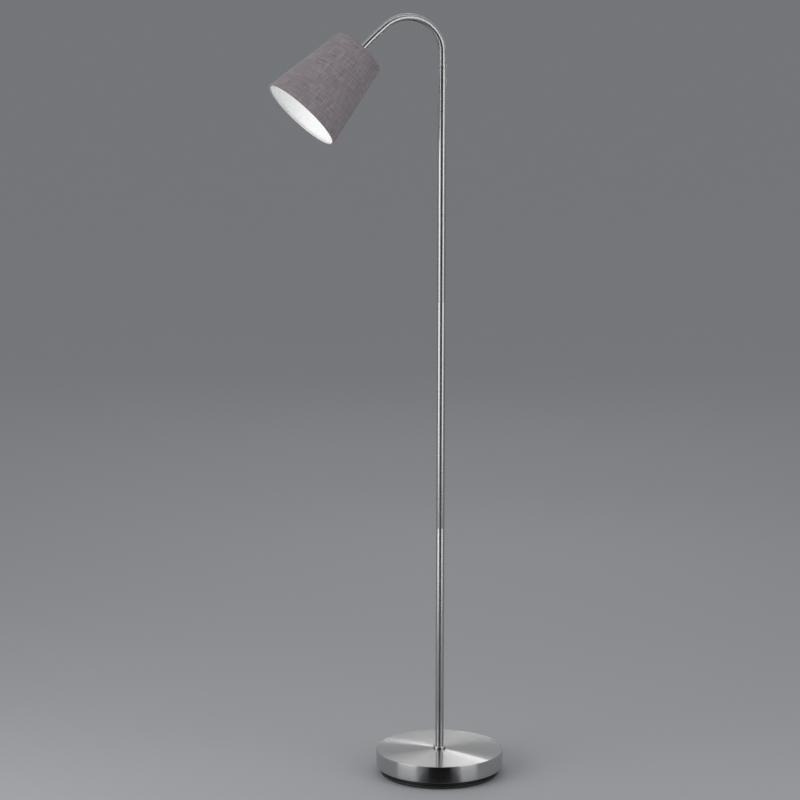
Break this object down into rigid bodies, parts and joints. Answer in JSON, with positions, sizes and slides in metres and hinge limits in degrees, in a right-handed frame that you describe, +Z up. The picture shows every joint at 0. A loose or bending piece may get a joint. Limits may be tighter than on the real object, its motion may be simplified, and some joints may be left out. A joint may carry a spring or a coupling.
{
  "type": "gooseneck floor lamp",
  "caption": "Slim floor lamp: round weighted base, straight sectional pole, bendable ribbed neck and a tapered fabric shade with a small screw bulb.",
  "frame": {"origin": "centre of the foot pad underside, on the floor", "axes": "+Z up along the pole; the neck arches in the XZ plane and carries the shade towards -X; the cord inlet is on the +Y side"},
  "size_m": [0.4292, 0.23, 1.368],
  "materials": {
    "cover_nickel": "brushed nickel, spun in rings",
    "pole_nickel": "satin nickel tube",
    "bright_nickel": "bright nickel",
    "neck_nickel": "satin nickel, ribbed",
    "cast_iron": "raw casting",
    "foot_black": "moulded, fine matt",
    "felt": "pressed felt",
    "zinc_steel": "zinc plated",
    "grommet_rubber": "matt",
    "shade_linen": "grey taupe woven linen",
    "shade_white": "white laminated lining",
    "wire_white": "white painted wire",
    "holder_white": "moulded",
    "brass": "plain",
    "bulb_opal": "opal",
    "bulb_aluminium": "rolled"
  },
  "bodies": {
    "base": {"foot_pad": "felt", "foot_tray": "foot_black", "tray_screws": "zinc_steel", "cord_grommet": "grommet_rubber", "base_weight": "cast_iron", "base_cover": "cover_nickel", "base_stud": "zinc_steel", "stud_nut": "zinc_steel", "stud_washer": "zinc_steel", "pole_collar": "bright_nickel", "lower_tube": "pole_nickel", "lower_tube_foot_insert": "zinc_steel", "lower_tube_top_insert": "zinc_steel", "middle_tube": "pole_nickel", "middle_tube_foot_insert": "zinc_steel", "middle_tube_top_insert": "zinc_steel", "upper_tube": "pole_nickel", "upper_tube_foot_insert": "zinc_steel", "upper_tube_top_insert": "zinc_steel", "tube_joiner_1": "zinc_steel", "tube_joiner_2": "zinc_steel", "pole_cap": "bright_nickel", "neck_sleeve": "pole_nickel", "sleeve_ball": "neck_nickel"},
    "neck_01": {"neck_link_01": "neck_nickel"},
    "neck_02": {"neck_link_02": "neck_nickel"},
    "neck_03": {"neck_link_03": "neck_nickel"},
    "neck_04": {"neck_link_04": "neck_nickel"},
    "neck_05": {"neck_link_05": "neck_nickel"},
    "neck_06": {"neck_link_06": "neck_nickel"},
    "neck_07": {"neck_link_07": "neck_nickel"},
    "neck_08": {"neck_link_08": "neck_nickel"},
    "neck_09": {"neck_link_09": "neck_nickel"},
    "neck_10": {"neck_link_10": "neck_nickel"},
    "neck_11": {"neck_link_11": "neck_nickel"},
    "neck_12": {"neck_link_12": "neck_nickel"},
    "neck_13": {"neck_link_13": "neck_nickel"},
    "neck_14": {"neck_link_14": "neck_nickel"},
    "head": {"neck_ferrule": "bright_nickel", "holder_cap": "holder_white", "holder_body": "holder_white", "holder_insulator": "holder_white", "centre_contact": "brass", "screw_shell": "brass", "shade_carrier": "wire_white", "shade_ring": "holder_white", "shade_fabric": "shade_linen", "shade_lining": "shade_white", "shade_bottom_ring": "wire_white", "bulb_glass": "bulb_opal", "bulb_cap": "bulb_aluminium"}
  },
  "joints": [
    {"name": "neck_bend_01", "type": "hinge", "parent": "base", "child": "neck_01", "pos_m": [-0.00882, 0, 1.3318], "axis": [0, -1, 0], "range_deg": [-11.8, 4.2]},
    {"name": "neck_bend_02", "type": "hinge", "parent": "neck_01", "child": "neck_02", "pos_m": [-0.01599, 0, 1.34091], "axis": [0, -1, 0], "range_deg": [-11.8, 4.2]},
    {"name": "neck_sway_03", "type": "hinge", "parent": "neck_02", "child": "neck_03", "pos_m": [-0.02464, 0, 1.34865], "axis": [0.599, 0, 0.8007], "range_deg": [-15, 15]},
    {"name": "neck_bend_04", "type": "hinge", "parent": "neck_03", "child": "neck_04", "pos_m": [-0.0345, 0, 1.35476], "axis": [0, -1, 0], "range_deg": [-11.8, 4.2]},
    {"name": "neck_bend_05", "type": "hinge", "parent": "neck_04", "child": "neck_05", "pos_m": [-0.04527, 0, 1.35907], "axis": [0, -1, 0], "range_deg": [-11.8, 4.2]},
    {"name": "neck_bend_06", "type": "hinge", "parent": "neck_05", "child": "neck_06", "pos_m": [-0.05662, 0, 1.36144], "axis": [0, -1, 0], "range_deg": [-11.8, 4.2]},
    {"name": "neck_sway_07", "type": "hinge", "parent": "neck_06", "child": "neck_07", "pos_m": [-0.06821, 0, 1.3618], "axis": [-0.0558, 0, 0.9984], "range_deg": [-15, 15]},
    {"name": "neck_bend_08", "type": "hinge", "parent": "neck_07", "child": "neck_08", "pos_m": [-0.0797, 0, 1.36015], "axis": [0, -1, 0], "range_deg": [-11.8, 4.2]},
    {"name": "neck_bend_09", "type": "hinge", "parent": "neck_08", "child": "neck_09", "pos_m": [-0.09072, 0, 1.35652], "axis": [0, -1, 0], "range_deg": [-11.8, 4.2]},
    {"name": "neck_bend_10", "type": "hinge", "parent": "neck_09", "child": "neck_10", "pos_m": [-0.10094, 0, 1.35104], "axis": [0, -1, 0], "range_deg": [-11.8, 4.2]},
    {"name": "neck_sway_11", "type": "hinge", "parent": "neck_10", "child": "neck_11", "pos_m": [-0.11006, 0, 1.34387], "axis": [-0.6277, 0, 0.7785], "range_deg": [-15, 15]},
    {"name": "neck_bend_12", "type": "hinge", "parent": "neck_11", "child": "neck_12", "pos_m": [-0.119, 0, 1.33648], "axis": [0, -1, 0], "range_deg": [-5.9, 2.1]},
    {"name": "neck_bend_13", "type": "hinge", "parent": "neck_12", "child": "neck_13", "pos_m": [-0.12776, 0, 1.32888], "axis": [0, -1, 0], "range_deg": [-5.9, 2.1]},
    {"name": "neck_bend_14", "type": "hinge", "parent": "neck_13", "child": "neck_14", "pos_m": [-0.13635, 0, 1.32108], "axis": [0, -1, 0], "range_deg": [-5.9, 2.1]},
    {"name": "neck_sway_15", "type": "hinge", "parent": "neck_14", "child": "head", "pos_m": [-0.14474, 0, 1.31307], "axis": [-0.6987, 0, 0.7154], "range_deg": [-15, 15]}
  ],
  "couplings": [
    {"joint": "neck_bend_02", "follows": "neck_bend_01", "ratio": 1},
    {"joint": "neck_bend_04", "follows": "neck_bend_01", "ratio": 1},
    {"joint": "neck_bend_05", "follows": "neck_bend_01", "ratio": 1},
    {"joint": "neck_bend_06", "follows": "neck_bend_01", "ratio": 1},
    {"joint": "neck_sway_07", "follows": "neck_sway_03", "ratio": 1},
    {"joint": "neck_bend_08", "follows": "neck_bend_01", "ratio": 1},
    {"joint": "neck_bend_09", "follows": "neck_bend_01", "ratio": 1},
    {"joint": "neck_bend_10", "follows": "neck_bend_01", "ratio": 1},
    {"joint": "neck_sway_11", "follows": "neck_sway_03", "ratio": 1},
    {"joint": "neck_bend_12", "follows": "neck_bend_01", "ratio": 0.5},
    {"joint": "neck_bend_13", "follows": "neck_bend_01", "ratio": 0.5},
    {"joint": "neck_bend_14", "follows": "neck_bend_01", "ratio": 0.5},
    {"joint": "neck_sway_15", "follows": "neck_sway_03", "ratio": 1}
  ]
}
